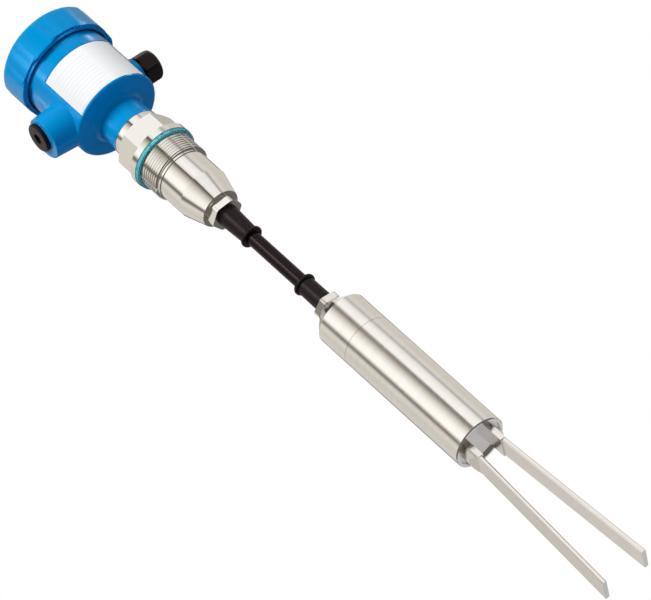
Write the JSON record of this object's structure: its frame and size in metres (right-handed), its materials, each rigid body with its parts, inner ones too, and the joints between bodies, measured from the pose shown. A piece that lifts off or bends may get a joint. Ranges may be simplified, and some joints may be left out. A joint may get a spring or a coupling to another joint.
{
  "type": "vibrating fork level switch",
  "caption": "Level switch with a round screw-cover housing that swivels on a threaded connection, and a two-tine vibrating fork on a sensor tube hung from a short rope.",
  "frame": {"origin": "on the fork's axis, at the sealing face under the process gasket", "axes": "+Z along the axis up to the housing, X across the two tines, Y along the tines' width"},
  "size_m": [0.1125, 0.0838, 0.6582],
  "materials": {
    "blue_plastic": "smooth moulded plastic with a soft gloss",
    "label_foil": "printed foil, left bare",
    "black_plastic": "black moulded plastic",
    "rope_jacket": "extruded black jacket with a slight sheen",
    "black_rubber": "moulded seal rubber",
    "gasket_fibre": "pressed fibre sheet",
    "turned_steel": "turned stainless steel with fine round marks",
    "fork_steel": "ground stainless steel with fine marks",
    "plain_steel": "plain steel",
    "grey_plastic": "dark grey moulded plastic",
    "brass": "turned brass",
    "switch_plastic": "red moulded switch body",
    "slider_plastic": "white moulded slider",
    "lens": "clear tinted lens",
    "insulator": "pale insulating plastic",
    "piezo_ceramic": "fired ceramic",
    "circuit_board": "green circuit board"
  },
  "bodies": {
    "connection": {"process_connection": "turned_steel", "process_gasket": "gasket_fibre", "swivel_ring": "turned_steel", "neck_seal": "black_rubber", "retaining_ring": "plain_steel", "rope_adapter": "turned_steel", "upper_nut": "turned_steel", "upper_ferrule": "brass", "upper_sleeve": "black_plastic", "rope": "rope_jacket"},
    "head": {"housing": "blue_plastic", "nameplate": "label_foil", "electronics_insert": "grey_plastic", "insert_screws": "plain_steel", "terminal_block": "grey_plastic", "terminal_screws": "plain_steel", "terminal_cages": "brass", "switch_bank": "switch_plastic", "status_leds": "lens", "gland_body": "black_plastic", "gland_gasket": "black_rubber"},
    "cover_carrier": {"cover_seal": "black_rubber"},
    "cover": {"cover": "blue_plastic"},
    "plug_carrier": {"plug_seal": "black_rubber"},
    "plug": {"blind_plug": "black_plastic"},
    "gland_carrier": {"gland_seal": "black_rubber"},
    "gland": {"gland_nut": "black_plastic"},
    "mode": {"mode_slider": "slider_plastic"},
    "density": {"density_slider": "slider_plastic"},
    "sensor": {"lower_sleeve": "black_plastic", "lower_ferrule": "brass", "lower_nut": "turned_steel", "sensor_head": "turned_steel", "sensor_tube": "turned_steel", "fork": "fork_steel", "drive_insulators": "insulator", "piezo_rings": "piezo_ceramic", "contact_washers": "brass", "drive_bolt": "plain_steel", "drive_nut": "plain_steel", "board_carrier": "insulator", "sensor_board": "circuit_board"}
  },
  "joints": [
    {"name": "head_swivel", "type": "hinge", "parent": "connection", "child": "head", "pos_m": [0, 0, 0.034], "axis": [0, 0, 1], "range_deg": [-180, 180]},
    {"name": "cover_lift", "type": "slide", "parent": "head", "child": "cover_carrier", "axis": [0, 0, 1], "range_m": [0, 0.0121]},
    {"name": "cover_turn", "type": "hinge", "parent": "cover_carrier", "child": "cover", "pos_m": [0, 0, 0.118], "axis": [0, 0, 1], "range_deg": [0, 1080]},
    {"name": "plug_travel", "type": "slide", "parent": "head", "child": "plug_carrier", "axis": [-0.9945, -0.1045, 0], "range_m": [0, 0.0091]},
    {"name": "plug_turn", "type": "hinge", "parent": "plug_carrier", "child": "plug", "pos_m": [0, 0, 0.0811], "axis": [-0.9945, -0.1045, 0], "range_deg": [0, 2160]},
    {"name": "gland_travel", "type": "slide", "parent": "head", "child": "gland_carrier", "axis": [0.9945, 0.1045, 0], "range_m": [0, 0.0091]},
    {"name": "gland_turn", "type": "hinge", "parent": "gland_carrier", "child": "gland", "pos_m": [0, 0, 0.0811], "axis": [0.9945, 0.1045, 0], "range_deg": [0, 2160]},
    {"name": "mode_set", "type": "slide", "parent": "head", "child": "mode", "axis": [0.9945, 0.1045, 0], "range_m": [0, 0.002]},
    {"name": "density_set", "type": "slide", "parent": "head", "child": "density", "axis": [0.9945, 0.1045, 0], "range_m": [0, 0.002]},
    {"name": "rope_bend", "type": "hinge", "parent": "connection", "child": "sensor", "pos_m": [0, 0, -0.1308], "axis": [0, 1, 0], "range_deg": [-30, 30], "stiffness_Nm_per_rad": 1.5, "deforming": ["rope"]}
  ],
  "couplings": [
    {"joint": "cover_lift", "follows": "cover_turn", "m_per_rad": 0.00063662},
    {"joint": "plug_travel", "follows": "plug_turn", "m_per_rad": 0.00023873},
    {"joint": "gland_travel", "follows": "gland_turn", "m_per_rad": 0.00023873}
  ]
}
